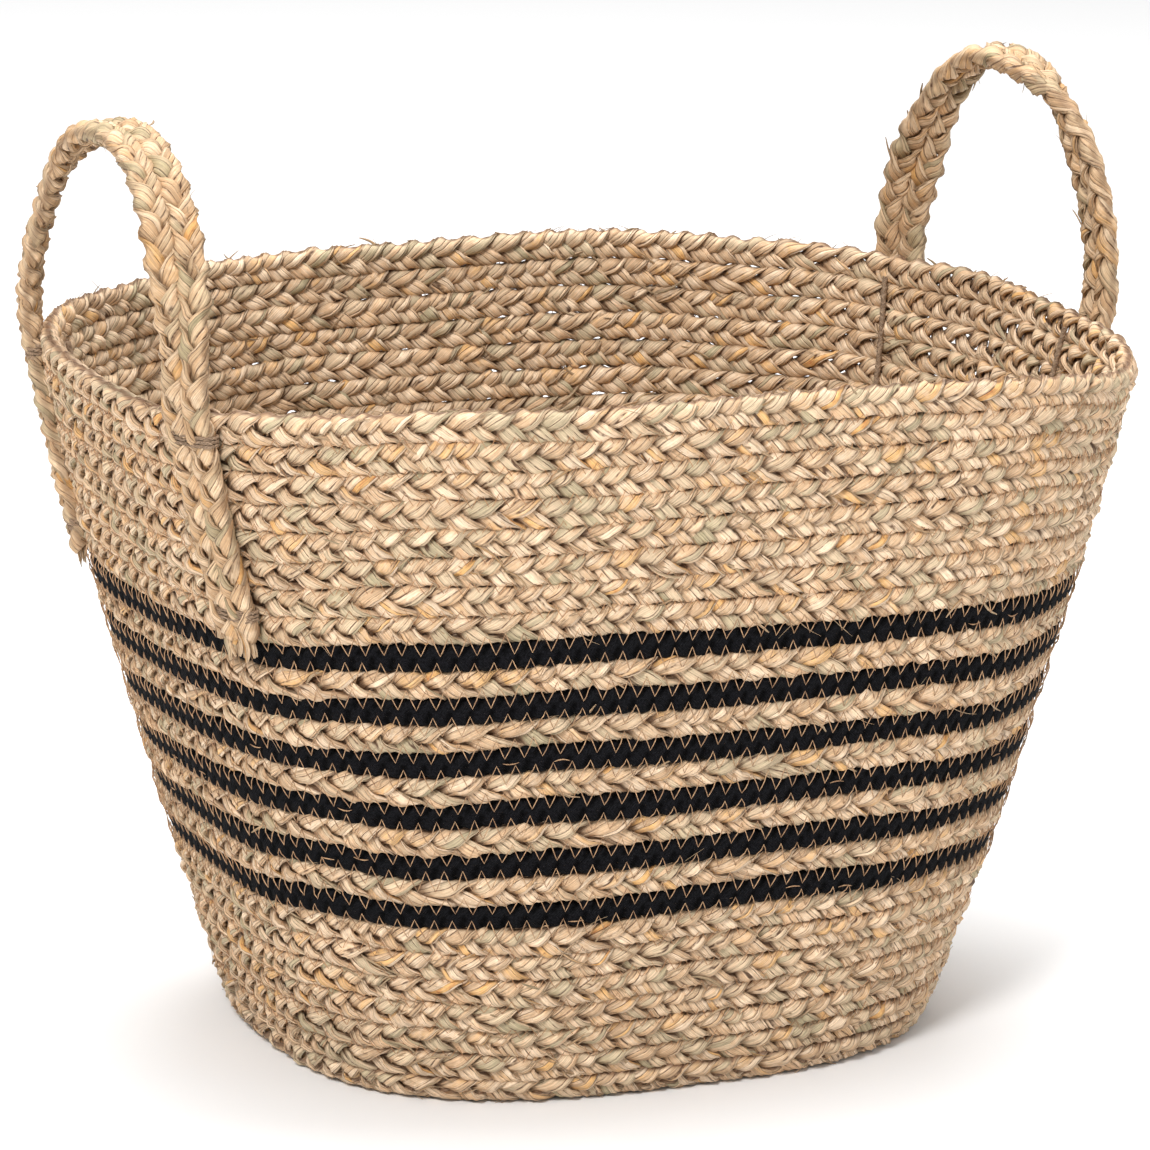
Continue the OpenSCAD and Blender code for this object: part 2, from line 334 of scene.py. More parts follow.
def makePlaitTree(strandGroup):
    # each strand is a flat bundle of blades swept along its path
    tree, given = newTree("plaitTree", [
        ("Guide", "Geometry"), ("Swing", "Float"), ("Lift", "Float"), ("Strand Width", "Float"),
        ("Strand Depth", "Float"), ("Ridge", "Float"), ("Wander", "Float"), ("Seed", "Int"),
        ("Material", "Material")])
    paths = tree.nodes.new("GeometryNodeGroup")
    paths.node_tree = strandGroup
    for label in ("Guide", "Swing", "Lift", "Wander", "Seed"):
        feed(tree, paths.inputs[label], given[label])
    phase = named(tree, "strandPhase")
    double = calc(tree, "SINE", calc(tree, "MULTIPLY", phase, 2.0))
    sides = 2 * bladesInStrand
    ring = add(tree, "GeometryNodeCurvePrimitiveCircle", {"mode": "RADIUS"}, Resolution=sides, Radius=1.0)
    index = add(tree, "GeometryNodeInputIndex").outputs[0]
    angle = calc(tree, "MULTIPLY", index, 2 * math.pi / sides)
    bladed = store(tree, ring.outputs[0], "ringAngle", angle)
    ripple = calc(tree, "ADD", 1.0, calc(tree, "MULTIPLY", given["Ridge"],
                                         calc(tree, "COSINE", calc(tree, "MULTIPLY", angle, bladesInStrand))))
    across = calc(tree, "MULTIPLY", calc(tree, "MULTIPLY", calc(tree, "SINE", angle), ripple),
                  calc(tree, "MULTIPLY", given["Strand Width"], 0.5))
    deep = calc(tree, "MULTIPLY", calc(tree, "MULTIPLY", calc(tree, "COSINE", angle), ripple),
                calc(tree, "MULTIPLY", given["Strand Depth"], 0.5))
    shaped = add(tree, "GeometryNodeSetPosition", Geometry=bladed, Position=combine(tree, deep, across, 0.0))
    noise = add(tree, "ShaderNodeTexNoise", {"noise_dimensions": "4D"}, W=named(tree, "ply"),
                Scale=90.0, Detail=1.0)
    plump = calc(tree, "ADD", 0.84, calc(tree, "MULTIPLY", calc(tree, "ABSOLUTE", double), 0.24))
    plump = calc(tree, "ADD", plump, calc(tree, "MULTIPLY", calc(
        tree, "SUBTRACT", noise.outputs["Fac"], 0.5), 0.55))
    body = add(tree, "GeometryNodeCurveToMesh", Curve=paths.outputs[0], Profile_Curve=shaped.outputs[0],
               Scale=calc(tree, "MULTIPLY", plump, named(tree, "size")), Fill_Caps=True)
    # hollowShade drives a painted shade: 1 deep between the strands, 0 on the row's outer and inner tops, to
    # darken the colour where shade falls in the crevices
    here = add(tree, "GeometryNodeInputPosition").outputs[0]
    fromGuide = vector(tree, "SUBTRACT", here, named(tree, "guidePos", "FLOAT_VECTOR"))
    rise = vector(tree, "DOT_PRODUCT", fromGuide, named(tree, "outDir", "FLOAT_VECTOR"))
    reach = calc(tree, "ADD", given["Lift"], calc(tree, "MULTIPLY", given["Strand Depth"], 0.5))
    hollowShade = calc(tree, "SUBTRACT", 1.0, calc(tree, "DIVIDE", calc(tree, "ABSOLUTE", rise), reach))
    made = store(tree, body.outputs[0], "hollowShade", hollowShade)
    cell = calc(tree, "ADD", calc(tree, "FLOOR", calc(tree, "DIVIDE", named(tree, "strandPhase"), math.pi)),
                calc(tree, "ADD", calc(tree, "MULTIPLY", named(tree, "ply"), 1009.0),
                     calc(tree, "MULTIPLY", named(tree, "row"), 4001.0)))
    chance = add(tree, "FunctionNodeRandomValue", {"data_type": "FLOAT"}, ID=cell, Seed=given["Seed"])
    made = store(tree, made, "leafTint", live(chance.outputs, "Value"))
    made = store(tree, made, "grain", grainOf(tree), "FLOAT_VECTOR")
    endTree(tree, made, given["Material"])
    return tree


def grainOf(tree):
    # where a point lies round its strand and, in millimetres, along it
    theta = named(tree, "ringAngle")
    apart = calc(tree, "MULTIPLY", calc(tree, "ADD", named(tree, "ply"),
                                        calc(tree, "MULTIPLY", named(tree, "row"), 3.0)), 137.0)
    lengthwise = calc(tree, "ADD", calc(tree, "MULTIPLY", named(tree, "along"), 1000.0), apart)
    return combine(tree, calc(tree, "COSINE", theta), calc(tree, "SINE", theta), lengthwise)


plait = {
    "period": 0.0350,       # one strand's swing there and back, three leaves long
    "bandPeriod": 0.0425,   # the plait between the black bands is pulled longer
    "step": 0.0016,
    "shape": {"Swing": 0.0047, "Lift": 0.0019, "Strand Width": 0.0081, "Strand Depth": 0.0034,
              "Ridge": 0.10, "Wander": 0.0024},
    "rowsInPiece": 2,
    "pull": 0.11,
    "rowLag": 0.37,         # how far each row's leaves lie behind those of the row below, in swings
    "footLift": 0.0012,     # the lowest row is pressed flat by what it stands on
    "footSize": 0.94,
    "tuck": (0.30, 0.10),   # how far the two lowest rows turn under
}


def unevenLeaves(share, k):
    # some leaves of a row are pulled longer than others
    slow = np.sin(2 * math.pi * 7 * share + 1.7 * k)
    quick = np.sin(2 * math.pi * 17 * share + 2.9 * k)
    return plait["pull"] * (slow + 0.5 * quick)


def rowLine(k, count=None, period=None):
    z = (rowBottom(k) + rowBottom(k + 1)) / 2
    a, b = halfAxes(z)
    length = evenAngles(a, b, 8)[1]
    count = count or int(length / plait["step"])
    tuck = plait["tuck"][k] if k < len(plait["tuck"]) else 0.0
    g = wallGuide(z, count, basket["plaitThickness"] / 2, tuck)
    period = period or (plait["bandPeriod"] if firstBand < k < firstUpper else plait["period"])
    turns = round(g["length"] / period)
    share = np.arange(count) / count
    g["turn"] = share * turns + plait["rowLag"] * k + unevenLeaves(share, k)
    g["along"] = share * g["length"]
    g["row"] = k
    if k == 0:
        g["centre"][:, 2] += plait["footLift"]
        g["size"] = plait["footSize"]
    return g


def makeWallPlait(tree, material):
    shape = plait["shape"]
    groups = [("lowerWallPlait", "lower_wall_coil", range(0, firstBand))]
    groups += [("naturalBandPlait." + str(i + 1), "natural_band_" + str(i + 1), [firstBand + 2 * i + 1])
               for i in range(basket["bandRows"] // 2)]
    groups += [("upperWallPlait", "upper_wall_coil", range(firstUpper, rowTotal - 1)),
               ("rimPlait", "rim_row", [rowTotal - 1])]
    for name, node, rows in groups:
        rows = list(rows)
        size = plait["rowsInPiece"]
        parts = [rows[i:i + size] for i in range(0, len(rows), size)]
        for number, part in enumerate(parts):
            label = name + ("." + str(number + 1) if len(parts) > 1 else "")
            values = dict(shape, Seed=part[0])
            if "band" in node:
                values["Swing"] = shape["Swing"] * basket["bandRatio"]
            piece = grow(label, guideMesh(label, [rowLine(k) for k in part]), tree, values, material)
            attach(piece, "basket")
            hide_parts(node)
    print("wall plait made")


baseCoil = {"step": 0.0022, "pitch": 0.0113, "lift": 0.0047, "pieces": 2, "points": 6000, "row": 60,
            "edgeGap": 0.0052, "middleGap": 0.003, "least": 0.001,
            "tucked": 0.005,   # how far the outer end lies under the lowest wall row
            "extraTurns": 1.4}


def makeBaseCoil(tree, material):
    # one flat oval spiral of the same plait, wound inwards from the lowest row
    a, b = halfAxes(rowHeight / 2)
    start = basket["plaitThickness"] + baseCoil["edgeGap"]
    turns = (b - start - baseCoil["middleGap"]) / baseCoil["pitch"] + baseCoil["extraTurns"]
    t = np.linspace(0, 2 * np.pi * turns, baseCoil["points"])
    inset = np.maximum(start - baseCoil["tucked"], start + baseCoil["pitch"] * (t / (2 * np.pi) - 1))
    blend = np.clip((b - inset) / b, 0, 1)[:, None]
    least = baseCoil["least"]
    squarish = np.stack([ovalPoint(a - i, max(b - i, least), q) for i, q in zip(inset, t)])
    rounder = np.column_stack([(a - inset) * np.cos(t), np.maximum(b - inset, least) * np.sin(t)])
    path = squarish * blend + rounder * (1 - blend)
    d = np.concatenate([[0], np.cumsum(np.hypot(*np.diff(path, axis=0).T))])
    count = int(d[-1] / baseCoil["step"])
    s = np.linspace(0, d[-1], count)
    centre = np.column_stack([np.interp(s, d, path[:, 0]), np.interp(s, d, path[:, 1]),
                              np.full(count, baseCoil["lift"])])
    run = unit(np.gradient(centre, axis=0))
    down = np.tile([0.0, 0.0, -1.0], (count, 1))
    side = np.cross(down, run)
    share = count // baseCoil["pieces"]
    for number in range(baseCoil["pieces"]):
        part = slice(number * share, min((number + 1) * share + 1, count))
        g = {"centre": centre[part], "out": down[part], "side": side[part], "closed": False,
             "turn": s[part] / plait["period"], "along": s[part], "row": baseCoil["row"]}
        label = "baseCoilPlait." + str(number + 1)
        values = dict(plait["shape"], Seed=baseCoil["row"])
        piece = grow(label, guideMesh(label, [g]), tree, values, material)
        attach(piece, "basket")
        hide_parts("base_coil")
    print("base coil made")


cottonBand = {"step": 0.0009, "depth": 0.0068, "ribPitch": 0.0082, "ribHeight": 0.0011, "count": 6,
              "sides": 16,
              "squaring": 0.55,    # the power that flattens the strip's round section
              "slant": 0.9,        # how steeply a rib runs from the edge to the middle
              "ribMiddle": 0.7,    # of a rib's height, where the strip's own surface is
              "fill": 0.99}        # of the row's height


def makeBandTree():
    # a flat cotton braid: a rounded strip with slanting bulges that meet in a zigzag in the middle
    tree, given = newTree("cottonBandTree", [
        ("Guide", "Geometry"), ("Height", "Float"), ("Depth", "Float"), ("Rib Pitch", "Float"),
        ("Rib Height", "Float"), ("Material", "Material")])
    curve = add(tree, "GeometryNodeMeshToCurve", Mesh=given["Guide"])
    turned = add(tree, "GeometryNodeSetCurveNormal", {"mode": "FREE"}, Curve=curve.outputs[0],
                 Normal=named(tree, "outDir", "FLOAT_VECTOR"))
    ring = add(tree, "GeometryNodeCurvePrimitiveCircle", {"mode": "RADIUS"}, Resolution=cottonBand["sides"],
               Radius=1.0)
    index = add(tree, "GeometryNodeInputIndex").outputs[0]
    angle = calc(tree, "MULTIPLY", index, 2 * math.pi / cottonBand["sides"])

    def squared(wave, half):
        flat = calc(tree, "MULTIPLY", calc(tree, "SIGN", wave),
                    calc(tree, "POWER", calc(tree, "ABSOLUTE", wave), cottonBand["squaring"]))
        return calc(tree, "MULTIPLY", flat, calc(tree, "MULTIPLY", half, 0.5))

    across = squared(calc(tree, "SINE", angle), given["Height"])
    deep = squared(calc(tree, "COSINE", angle), given["Depth"])
    marked = store(tree, ring.outputs[0], "across", across)
    shaped = add(tree, "GeometryNodeSetPosition", Geometry=marked, Position=combine(tree, deep, across, 0.0))
    body = add(tree, "GeometryNodeCurveToMesh", Curve=turned.outputs[0], Profile_Curve=shaped.outputs[0],
               Fill_Caps=False)
    slant = calc(tree, "SUBTRACT", named(tree, "along"),
                 calc(tree, "MULTIPLY", calc(tree, "ABSOLUTE", named(tree, "across")),
                      cottonBand["slant"]))
    half = calc(tree, "MULTIPLY", calc(tree, "GREATER_THAN", named(tree, "across"), 0.0), 0.5)
    place = calc(tree, "ADD", calc(tree, "DIVIDE", slant, given["Rib Pitch"]), half)
    rib = calc(tree, "ABSOLUTE", calc(tree, "SINE", calc(tree, "MULTIPLY", place, math.pi)))
    rib = calc(tree, "SUBTRACT", rib, cottonBand["ribMiddle"])
    made = store(tree, body.outputs[0], "weave", combine(
        tree, calc(tree, "MULTIPLY", named(tree, "along"), 1000.0),
        calc(tree, "MULTIPLY", named(tree, "across"), 1000.0), 0.0), "FLOAT_VECTOR")
    normal = add(tree, "GeometryNodeInputNormal").outputs[0]
    raised = add(tree, "GeometryNodeSetPosition", Geometry=made,
                 Offset=vector(tree, "SCALE", normal, scale=calc(tree, "MULTIPLY", rib, given["Rib Height"])))
    kept = store(tree, raised.outputs[0], "rib", calc(tree, "ADD", rib, cottonBand["ribMiddle"]))
    endTree(tree, kept, given["Material"])
    return tree


def makeBlackBands(material):
    tree = makeBandTree()
    for i in range(cottonBand["count"]):
        k = firstBand + 2 * i
        z = (rowBottom(k) + rowBottom(k + 1)) / 2
        count = int(evenAngles(*halfAxes(z), 8)[1] / cottonBand["step"])
        g = rowLine(k, count, cottonBand["ribPitch"])
        turns = round(g["length"] / cottonBand["ribPitch"])
        values = {"Height": bandHeight * cottonBand["fill"], "Depth": cottonBand["depth"],
                  "Rib Pitch": g["length"] / turns, "Rib Height": cottonBand["ribHeight"]}
        label = "blackCottonBand." + str(i + 1)
        piece = grow(label, guideMesh(label, [g]), tree, values, material)
        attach(piece, "basket")
        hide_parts("black_band_" + str(i + 1))
    print("black bands made")


def makeSeamTree():
    # a zigzag stitch that crosses the seam between two rows
    tree, given = newTree("zigzagTree", [
        ("Guide", "Geometry"), ("Reach", "Float"), ("Thread", "Float"), ("Dip", "Float"),
        ("Wander", "Float"), ("Seed", "Int"), ("Material", "Material")])
    curve = add(tree, "GeometryNodeMeshToCurve", Mesh=given["Guide"])
    wave = calc(tree, "SUBTRACT", calc(tree, "MULTIPLY", calc(
        tree, "PINGPONG", calc(tree, "MULTIPLY", named(tree, "turn"), 2.0), 1.0), 2.0), 1.0)
    noise = add(tree, "ShaderNodeTexNoise", {"noise_dimensions": "4D"}, W=given["Seed"],
                Scale=160.0, Detail=0.0)
    lean = vector(tree, "SCALE", vector(tree, "SUBTRACT", noise.outputs["Color"], (0.5, 0.5, 0.5)),
                  scale=given["Wander"])
    dip = calc(tree, "MULTIPLY", calc(tree, "POWER", calc(tree, "ABSOLUTE", wave), 6.0), given["Dip"])
    shift = vector(tree, "ADD", vector(tree, "SCALE", named(tree, "sideDir", "FLOAT_VECTOR"),
                                       scale=calc(tree, "MULTIPLY", wave, given["Reach"])),
                   vector(tree, "SCALE", named(tree, "outDir", "FLOAT_VECTOR"),
                          scale=calc(tree, "MULTIPLY", dip, -1.0)))
    moved = add(tree, "GeometryNodeSetPosition", Geometry=curve.outputs[0],
                Offset=vector(tree, "ADD", shift, lean))
    ring = add(tree, "GeometryNodeCurvePrimitiveCircle", {"mode": "RADIUS"}, Resolution=5)
    feed(tree, live(ring.inputs, "Radius"), calc(tree, "MULTIPLY", given["Thread"], 0.5))
    body = add(tree, "GeometryNodeCurveToMesh", Curve=moved.outputs[0], Profile_Curve=ring.outputs[0],
               Fill_Caps=True)
    endTree(tree, body.outputs[0], given["Material"])
    return tree


seam = {"pitch": 0.0075, "reach": 0.0043, "thread": 0.00042, "pointsInTooth": 8,
        "proud": 0.0009, "sunk": -0.0003, "dip": 0.0003, "wander": 0.0012, "seed": 5,
        "fine": 0.72}    # the brown seams, compared with the pale ones


def seamLine(k):
    # the seam between row k - 1 and row k, on the outer face
    z = rowBottom(k)
    length = evenAngles(*halfAxes(z), 8)[1]
    teeth = round(length / seam["pitch"])
    count = teeth * seam["pointsInTooth"]
    proud = seam["proud"] if isBlack(k) or isBlack(k - 1) else seam["sunk"]
    g = wallGuide(z, count, -proud)
    share = np.arange(count) / count
    g["turn"] = share * teeth
    # each tooth lies on the row that it reaches into
    reachesUp = (g["turn"] % 1 > 0.25) & (g["turn"] % 1 < 0.75)
    rowZ = np.where(reachesUp, (z + rowBottom(k + 1)) / 2, (z + rowBottom(k - 1)) / 2)
    g["centre"] = g["centre"] + g["out"] * (unevenness(g["angle"], rowZ) - unevenness(g["angle"], z))[:, None]
    g["along"] = share * g["length"]
    g["row"] = k
    return g


lockStitch = {"each": 7, "length": 0.0065, "thread": 0.0005, "seed": 3, "points": 1400, "margin": 20,
              "scatter": 0.006}


def lockStitches(rng):
    # short straight stitches where a thread starts or ends, laid flat on the black bands
    lines = []
    for k in range(firstBand, firstUpper, 2):
        g = rowLine(k, lockStitch["points"])
        for _ in range(lockStitch["each"]):
            j = int(rng.integers(lockStitch["margin"], lockStitch["points"] - lockStitch["margin"]))
            run = unit(g["centre"][j + 1] - g["centre"][j - 1])
            spot = g["centre"][j] + g["side"][j] * (rng.random() - 0.5) * lockStitch["scatter"]
            spot = spot + g["out"][j] * (cottonBand["depth"] / 2 + lockStitch["thread"])
            lines.append(bladeLine(rng, spot, run, g["side"][j], g["out"][j], lockStitch["length"], 0.0, 1.0))
    return lines


def makeLockStitches(material):
    lines = lockStitches(np.random.default_rng(lockStitch["seed"]))
    label = "lockStitches"
    piece = grow(label, guideMesh(label, lines), makeLooseTree(),
                 {"Width": lockStitch["thread"], "Depth": lockStitch["thread"]}, material)
    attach(piece, "basket")


def makeSeams(paleThread, brownThread):
    tree = makeSeamTree()
    groups = [("seamThreadStripes", range(firstBand, firstUpper + 1), paleThread, 1.0),
              ("seamThreadLower", range(2, firstBand), brownThread, seam["fine"]),
              ("seamThreadUpper", range(firstUpper + 1, rowTotal), brownThread, seam["fine"])]
    for name, rows, material, share in groups:
        values = {"Reach": seam["reach"] * share, "Thread": seam["thread"] * share, "Dip": seam["dip"],
                  "Wander": seam["wander"], "Seed": seam["seed"]}
        piece = grow(name, guideMesh(name, [seamLine(k) for k in rows]), tree, values, material)
        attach(piece, "basket")
    makeLockStitches(paleThread)
    print("seam threads made")


strap = {
    "plaitWidth": 0.012,
    "thickness": 0.008,
    "gap": -0.0006,           # the two plaits are sewn hard against each other
    "wallGap": 0.0009,
    "bend": 0.312,
    "bendReach": 0.009,
    "top": 0.397,
    "footBelowBand": 0.2,     # of a row
    "period": 0.0375,
    "step": 0.0013,
    "legPoints": 60,
    "loopPoints": 160,
    "smoothing": 7,           # points on either side that a point is evened out over
    "plaitLag": 0.21,         # how far the second plait's leaves lie behind the first's, in swings
    "firstRow": 80,           # the plaits' numbers, which vary their colour
    "footPinch": 0.78,        # the plaits are squeezed together towards the foot
    "shape": {"Swing": 0.0042, "Lift": 0.0020, "Strand Width": 0.0085, "Strand Depth": 0.0035,
              "Ridge": 0.10, "Wander": 0.0026},
    "left": {"sign": -1, "front": -0.090, "back": 0.094, "lean": -0.022, "seed": 80},
    "right": {"sign": 1, "front": -0.022, "back": 0.112, "lean": 0.004, "seed": 90},
    "turns": {  # where the strap turns above each leg, and how slim the loop is there
        "leftFront": {"from": 0.0, "to": 0.3, "slim": 0.4},
        "leftBack": {"from": 0.2, "to": 0.47, "slim": 0.0},
        "rightFront": {"from": 0.2, "to": 0.5, "slim": 0.0},
        "rightBack": {"from": 0.0, "to": 0.3, "slim": 0.6},
    },
    "footShift": {"front": 1.0, "back": 0.85},
}
footZ = rowBottom(firstUpper) - rowHeight * strap["footBelowBand"]


def wallFrame(sign, y, z):
    # a point on the wall's outer face, the way out and the way along
    a, b = halfAxes(z)
    e = basket["squareness"]
    x = sign * a * (1 - (abs(y) / b) ** e) ** (1 / e)
    slopeX = sign * (abs(x) / a) ** (e - 1) / a
    slopeY = math.copysign((abs(y) / b) ** (e - 1) / b, y)
    out = unit(np.array([slopeX, slopeY, 0.0]))
    along = np.array([out[1], -out[0], 0.0])
    return np.array([x, y, z]), out, along if along[0] * sign >= 0 else -along


def legPoint(sign, y, z):
    p, out, along = wallFrame(sign, y, min(z, basket["wallHeight"]))
    c = p + out * (strap["thickness"] / 2 + strap["wallGap"])
    return np.array([c[0], c[1], z]), out, along


def legDepth(hand, which, z):
    # where a leg is along Y at a height, and how far down it that is, 0 at the rim to 1 at the foot
    share = (basket["wallHeight"] - min(z, basket["wallHeight"])) / (basket["wallHeight"] - footZ)
    y = strap[hand][which]
    return y + (y * strap["footShift"][which] - y) * share, share


def legLine(hand, which):
    # from the foot up to the bend: centres, width directions and outward directions
    sign = strap[hand]["sign"]
    rows = []
    for z in np.linspace(footZ, strap["bend"], strap["legPoints"], endpoint=False):
        rows.append(legPoint(sign, legDepth(hand, which, z)[0], z))
    return rows


def strapPath(hand):
    # the whole strap, from the front foot over the loop to the back foot
    info = strap[hand]
    front, back = legLine(hand, "front"), legLine(hand, "back")
    p = legPoint(info["sign"], info["front"], strap["bend"])[0]
    q = legPoint(info["sign"], info["back"], strap["bend"])[0]
    chord = unit(q - p)
    away = np.array([chord[1], -chord[0], 0.0])
    away = away if away[0] * info["sign"] >= 0 else -away
    crown = np.array([0, 0, strap["top"] - strap["bend"]]) + chord * info["lean"]
    turns = [strap["turns"][hand + which] for which in ("Front", "Back")]
    loop = []
    for t in np.linspace(0, 1, strap["loopPoints"]):
        here = turns[int(t > 0.5)]
        near = min(t, 1 - t)
        way = (1 - here["slim"]) * math.cos(math.pi * t) + here["slim"] * (1 - 2 * t)
        pace = (1 - here["slim"]) * math.sin(math.pi * t) + here["slim"] * 2 / math.pi
        c = (p + q) / 2 - (q - p) / 2 * way + crown * math.sin(math.pi * t)
        run = unit((q - p) / 2 * pace + crown * math.cos(math.pi * t))
        end = (back if t > 0.5 else front)[-1][2]
        turn = smoothStep((near - here["from"]) / (here["to"] - here["from"]))
        w = unit(end * (1 - turn) + away * turn)
        w = unit(w - run * (w @ run))
        loop.append((c, w))
    line = [(c, w) for c, _, w in front] + loop + [(c, w) for c, _, w in reversed(back)]
    centre = np.array([c for c, _ in line])
    wide = np.array([w for _, w in line])
    d = travelled(centre)
    count = int(d[-1] / strap["step"])
    s = np.linspace(0, d[-1], count)
    centre = np.column_stack([np.interp(s, d, centre[:, i]) for i in range(3)])
    wide = np.column_stack([np.interp(s, d, wide[:, i]) for i in range(3)])
    pad = strap["smoothing"]
    window = np.hanning(2 * pad + 1) / np.hanning(2 * pad + 1).sum()
    for values in (centre, wide):
        for i in range(3):
            wave = np.concatenate([2 * values[0, i] - values[pad:0:-1, i], values[:, i],
                                   2 * values[-1, i] - values[-2:-pad - 2:-1, i]])
            values[:, i] = np.convolve(wave, window, "valid")
    run = unit(np.gradient(centre, axis=0))
    wide = unit(wide - run * np.sum(wide * run, 1, keepdims=True))
    face = np.cross(run, wide)
    outward = face[0] @ front[0][1] >= 0
    return centre, wide, (face if outward else -face), s


def blendOverBend(piece):
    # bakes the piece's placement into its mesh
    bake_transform(piece)


def makeStraps(tree, material):
    for hand in ("left", "right"):
        centre, wide, face, s = strapPath(hand)
        lines = []
        for number, side in enumerate((-1, 1)):
            offset = (strap["plaitWidth"] + strap["gap"]) / 2 * side
            share = np.clip((centre[:, 2] - footZ) / (basket["wallHeight"] - footZ), 0, 1)
            pinch = strap["footPinch"] + (1 - strap["footPinch"]) * share
            lines.append({"centre": centre + wide * (offset * pinch)[:, None], "side": wide * side,
                          "out": face, "turn": s / strap["period"] + strap["plaitLag"] * number,
                          "along": s, "closed": False, "row": strap["firstRow"] + number})
        seed = strap[hand]["seed"]
        label = hand + "StrapPlaits"
        piece = grow(label, guideMesh(label, lines), tree, dict(strap["shape"], Seed=seed), material)
        blendOverBend(piece)
        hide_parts(*[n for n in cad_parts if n.startswith(hand) and "plait" in n])
    print("straps made")


twine = {"wraps": 3, "lashHeight": 0.005, "inside": 0.0017, "insideSize": 2.3, "period": 0.0065,
         "step": 0.0008, "seed": 100,
         "slack": 0.06,              # how much wider than the strap a turn is
         "proud": 0.0001,
         "flatness": (0.5, 0.6),     # powers that square a turn, along the wall and out of it
         "behind": (0.9, 0.0002),    # how much shallower and deeper set a turn is behind the strap
         "raise": 0.004,
         "rows": {"rim": 101, "foot": 102, "inside": 103},
         "footRise": 0.6,            # of a row
         "insideOverlap": (0.003, 0.006),
         "shape": {"Swing": 0.00042, "Lift": 0.00028, "Strand Width": 0.0009, "Strand Depth": 0.0008,
                   "Ridge": 0.06, "Wander": 0.0009}}


def lashLine(hand, which, z, row):
    # turns of twine round the strap's outer face, their ends drawn into the wall
    y, share = legDepth(hand, which, z)
    c, out, along = legPoint(strap[hand]["sign"], y, z)
    half = strap["plaitWidth"] * (strap["footPinch"] + twine["slack"]
                                  + (1 - twine["slack"] - strap["footPinch"]) * (1 - share))
    proud = strap["thickness"] / 2 + twine["proud"]
    turns = twine["wraps"]
    count = int(turns * (2 * math.pi * half) / twine["step"])
    t = np.linspace(0, 2 * math.pi * turns, count)
    cx, cy = np.cos(t), np.sin(t)
    w = half * np.sign(cx) * np.abs(cx) ** twine["flatness"][0]
    n = proud * np.sign(cy) * np.abs(cy) ** twine["flatness"][1]
    n = np.where(n < 0, n * twine["behind"][0] - twine["behind"][1], n)
    rise = (t / t[-1] - 0.5) * twine["lashHeight"] + twine["raise"]
    up = np.array([0, 0, 1.0])
    centre = c + along * w[:, None] + out * n[:, None] + up * rise[:, None]
    run = unit(np.gradient(centre, axis=0))
    outward = unit(along * (w / half)[:, None] + out * (n / proud)[:, None] + 1e-6)
    outward = unit(outward - run * np.sum(outward * run, 1, keepdims=True))
    s = travelled(centre)
    return {"centre": centre, "side": np.cross(outward, run), "out": outward, "closed": False,
            "turn": s / twine["period"], "along": s, "row": row}


def insideLine(hand, which, low, high, row):
    # the run of twine up the inner face, between the two lashings
    points, outs = [], []
    for z in np.linspace(low, high, int((high - low) / twine["step"])):
        p, out, _ = wallFrame(strap[hand]["sign"], legDepth(hand, which, z)[0], z)
        points.append(p - out * (basket["plaitThickness"] + twine["inside"]))
        outs.append(-out)
    centre, outward = np.array(points), np.array(outs)
    run = unit(np.gradient(centre, axis=0))
    outward = unit(outward - run * np.sum(outward * run, 1, keepdims=True))
    s = travelled(centre)
    return {"centre": centre, "side": np.cross(outward, run), "out": outward, "closed": False,
            "turn": s / twine["period"], "along": s, "row": row, "size": twine["insideSize"]}


def makeTwines(tree, material):
    rimZ = basket["wallHeight"] - rowHeight - twine["lashHeight"]
    lowZ = footZ + rowHeight * twine["footRise"]
    below, above = twine["insideOverlap"]
    for hand in ("left", "right"):
        for which in ("front", "back"):
            lines = [lashLine(hand, which, rimZ, twine["rows"]["rim"]),
                     lashLine(hand, which, lowZ, twine["rows"]["foot"]),
                     insideLine(hand, which, lowZ + below, rimZ + above, twine["rows"]["inside"])]
            label = hand + which.capitalize() + "Twine"
            values = dict(twine["shape"], Seed=twine["seed"])
            piece = grow(label, guideMesh(label, lines), tree, values, material)
            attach(piece, "basket")
            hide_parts(hand + "_" + which + "_twine")
    print("twine lashings made")


looseBlade = {"points": 6, "width": 0.0013, "depth": 0.00035, "seed": 11,
              "outside": 1300, "rim": 200, "inside": 600, "onStrap": 60, "inTuft": 14,
              "betweenBands": 0.25, "guidePoints": 700, "sides": 6, "faceDepth": 0.0034, "rimDepth": 0.001,
              "reach": 0.42,         # of a row's height, either side of its middle
              "bow": 0.3, "rooted": 0.35, "curl": 2.2,
              "thinShare": 0.45, "thinSize": 0.28,
              "tuft": {"size": 2.7, "length": (0.009, 0.005), "lift": 0.0015, "depth": 0.0035,
                       "across": 1.3, "fan": 0.6}}


